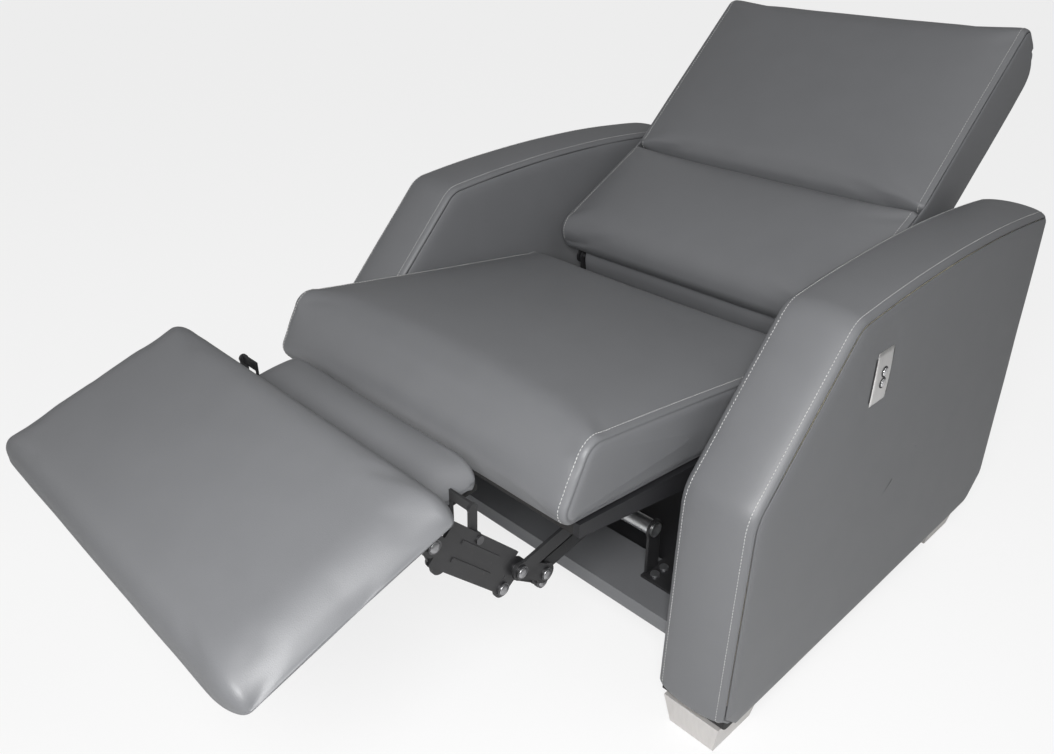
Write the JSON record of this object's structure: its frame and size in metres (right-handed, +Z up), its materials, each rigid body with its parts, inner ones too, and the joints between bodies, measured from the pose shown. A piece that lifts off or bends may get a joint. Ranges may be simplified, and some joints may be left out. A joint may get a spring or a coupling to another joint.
{
  "type": "powered cinema recliner seat",
  "caption": "Powered cinema recliner in grey leatherette, reclined with its footrest out, on tapered silver feet between thick padded arms.",
  "frame": {"origin": "on the floor, in the middle of the reclined seat's length and width", "axes": "+X to the sitter's left, +Y to the rear, +Z up"},
  "size_m": [0.82, 1.4643, 0.7989],
  "materials": {
    "upholstery": "grained",
    "black_steel": "satin",
    "zinc": "zinc plated",
    "brushed_silver": "brushed",
    "timber": "bare plywood",
    "foam": "open cell foam",
    "webbing": "woven",
    "black_plastic": "matte"
  },
  "bodies": {
    "base": {"left_arm_board": "timber", "right_arm_board": "timber", "left_arm_foam": "foam", "right_arm_foam": "foam", "arm_sills": "timber", "left_arm_band": "upholstery", "right_arm_band": "upholstery", "left_outer_skin": "upholstery", "right_outer_skin": "upholstery", "left_inner_skin": "upholstery", "right_inner_skin": "upholstery", "feet": "brushed_silver", "foot_screws": "zinc", "front_rail": "timber", "front_rail_wrap": "upholstery", "rear_rail": "timber", "rail_brackets": "zinc", "base_angles": "black_steel", "tracks": "zinc", "base_screws": "zinc", "cross_tubes": "zinc", "actuator_tube": "zinc", "gear_housing": "black_plastic", "motor": "black_steel", "power_inlet": "black_plastic", "switch_box": "black_plastic", "switch_plate": "brushed_silver", "switch_lead": "black_plastic"},
    "carriage": {"seat_frame": "timber", "seat_deck": "webbing", "seat_cushion": "upholstery", "seat_side_wraps": "upholstery", "left_seat_plate": "black_steel", "right_seat_plate": "black_steel", "slide_bars": "zinc", "seat_bolts": "zinc", "seat_rivets": "zinc", "drive_bracket": "black_steel", "actuator_rod": "zinc"},
    "back": {"back_frame": "timber", "lumbar_cushion": "upholstery", "upper_back_cushion": "upholstery", "back_panel": "upholstery", "back_brackets": "black_steel"},
    "front_links": {"front_links": "black_steel"},
    "rear_links": {"rear_links": "black_steel", "crank_rivets": "zinc"},
    "carrier": {"carriers": "black_steel", "carrier_rivets": "zinc", "flap_pad": "upholstery", "flap_board": "timber", "flap_straps": "black_steel", "strap_bolts": "zinc"},
    "footrest": {"footrest_pad": "upholstery", "footrest_board": "timber", "footrest_brackets": "black_steel", "footrest_rivets": "zinc"},
    "steering": {"steering_links": "black_steel"},
    "open_button": {"open_button": "black_plastic"},
    "close_button": {"close_button": "black_plastic"}
  },
  "joints": [
    {"name": "carriage_slide", "type": "slide", "parent": "base", "child": "carriage", "axis": [0, 1, 0], "range_m": [0, 0.126]},
    {"name": "back_recline", "type": "hinge", "parent": "carriage", "child": "back", "pos_m": [0, 0.252, 0.401], "axis": [1, 0, 0], "range_deg": [0, 34.2]},
    {"name": "front_link_hinge", "type": "hinge", "parent": "carriage", "child": "front_links", "pos_m": [0, -0.23028, 0.36919], "axis": [1, 0, 0], "range_deg": [0, 109.2]},
    {"name": "rear_link_hinge", "type": "hinge", "parent": "carriage", "child": "rear_links", "pos_m": [0, -0.18428, 0.33519], "axis": [1, 0, 0], "range_deg": [0, 109.2]},
    {"name": "carrier_hinge", "type": "hinge", "parent": "front_links", "child": "carrier", "pos_m": [0, -0.377, 0.338], "axis": [1, 0, 0], "range_deg": [-109.2, 0]},
    {"name": "footrest_hinge", "type": "hinge", "parent": "carrier", "child": "footrest", "pos_m": [0, -0.487, 0.43], "axis": [1, 0, 0], "range_deg": [0, 70.2]},
    {"name": "steering_hinge", "type": "hinge", "parent": "rear_links", "child": "steering", "pos_m": [0, -0.33, 0.287], "axis": [1, 0, 0], "range_deg": [-114.3, 0]},
    {"name": "open_button_press", "type": "slide", "parent": "base", "child": "open_button", "axis": [-1, 0, 0], "range_m": [0, 0.0022], "stiffness_N_per_m": 150},
    {"name": "close_button_press", "type": "slide", "parent": "base", "child": "close_button", "axis": [-1, 0, 0], "range_m": [0, 0.0022], "stiffness_N_per_m": 150}
  ],
  "couplings": [
    {"joint": "back_recline", "follows": "carriage_slide", "rad_per_m": 4.7096},
    {"joint": "front_link_hinge", "follows": "carriage_slide", "rad_per_m": 15.098},
    {"joint": "rear_link_hinge", "follows": "carriage_slide", "rad_per_m": 15.098},
    {"joint": "carrier_hinge", "follows": "carriage_slide", "rad_per_m": -15.098},
    {"joint": "footrest_hinge", "follows": "carriage_slide", "rad_per_m": 9.6963},
    {"joint": "steering_hinge", "follows": "carriage_slide", "rad_per_m": -15.805}
  ]
}
